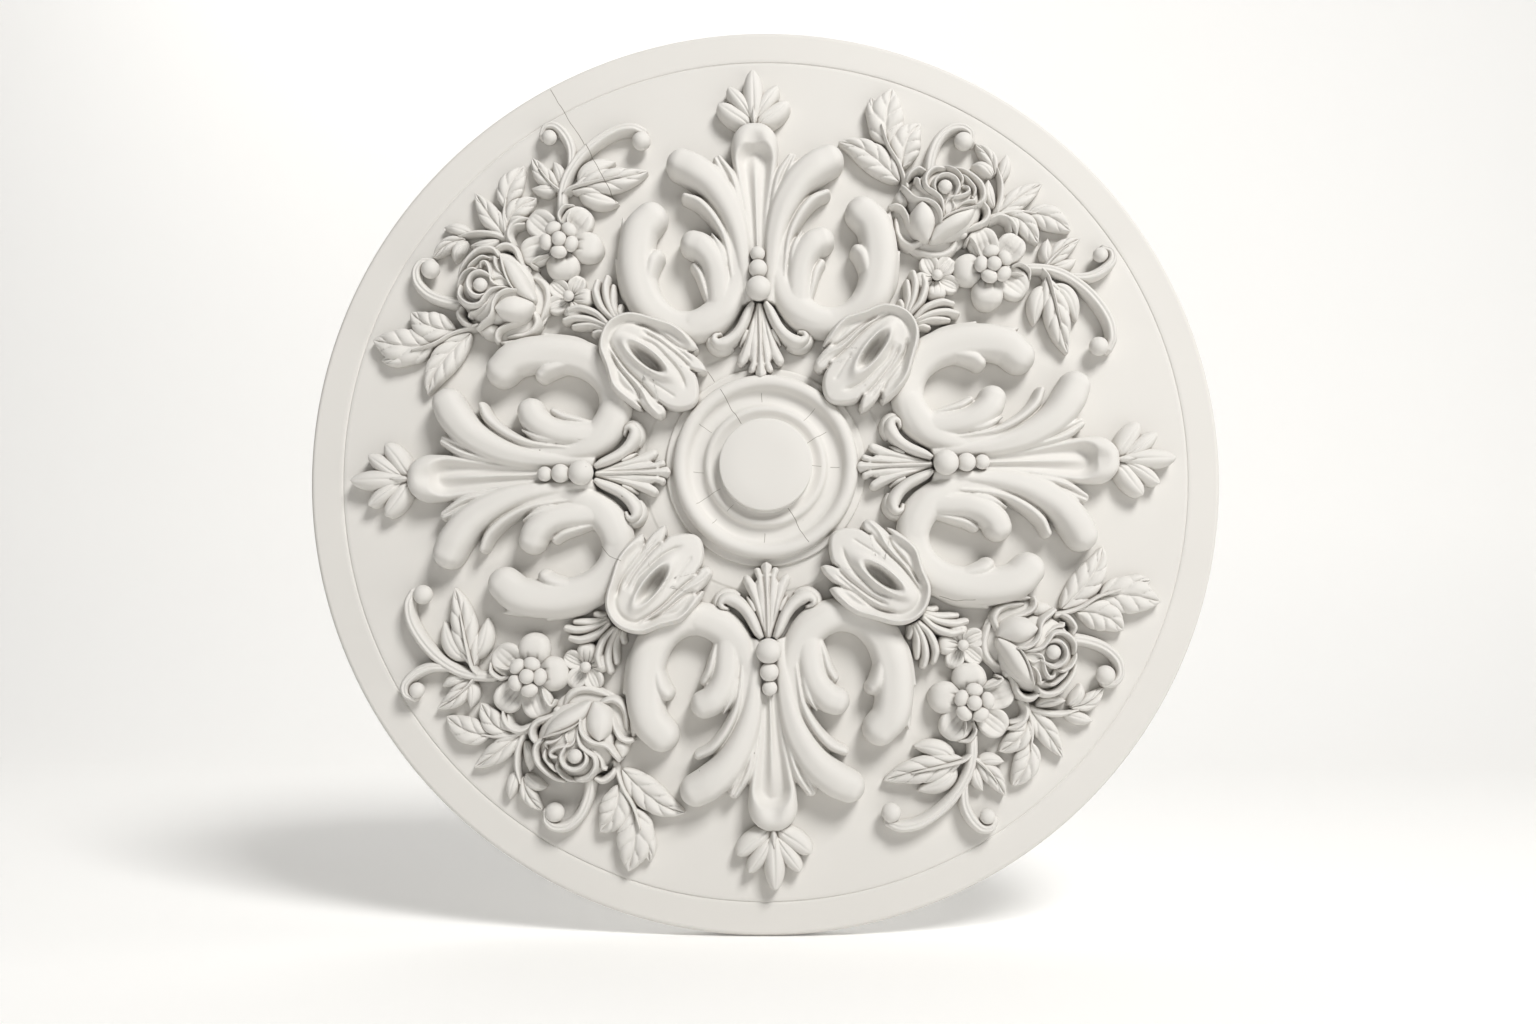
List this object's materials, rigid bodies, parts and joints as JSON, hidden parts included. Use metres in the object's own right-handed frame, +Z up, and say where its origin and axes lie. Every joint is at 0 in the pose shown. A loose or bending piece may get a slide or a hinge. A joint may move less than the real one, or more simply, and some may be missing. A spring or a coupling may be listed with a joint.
{
  "type": "ceiling rose",
  "caption": "Round plaster ceiling rose with a moulded centre boss, scrolled acanthus arms, shells on the diagonals and flower sprays between.",
  "frame": {"origin": "centre of the flat back face, where the rose meets the ceiling; the picture shows it upright, so the ceiling side is the plane y = 0", "axes": "+Y out of the back face into the ceiling, -Y out of the carved face, +Z up in the picture, +X to its right"},
  "size_m": [0.76, 0.0622, 0.76],
  "materials": {
    "plaster": "matte off-white casting plaster"
  },
  "bodies": {
    "root": {"ceiling_rose": "plaster"}
  },
  "joints": []
}
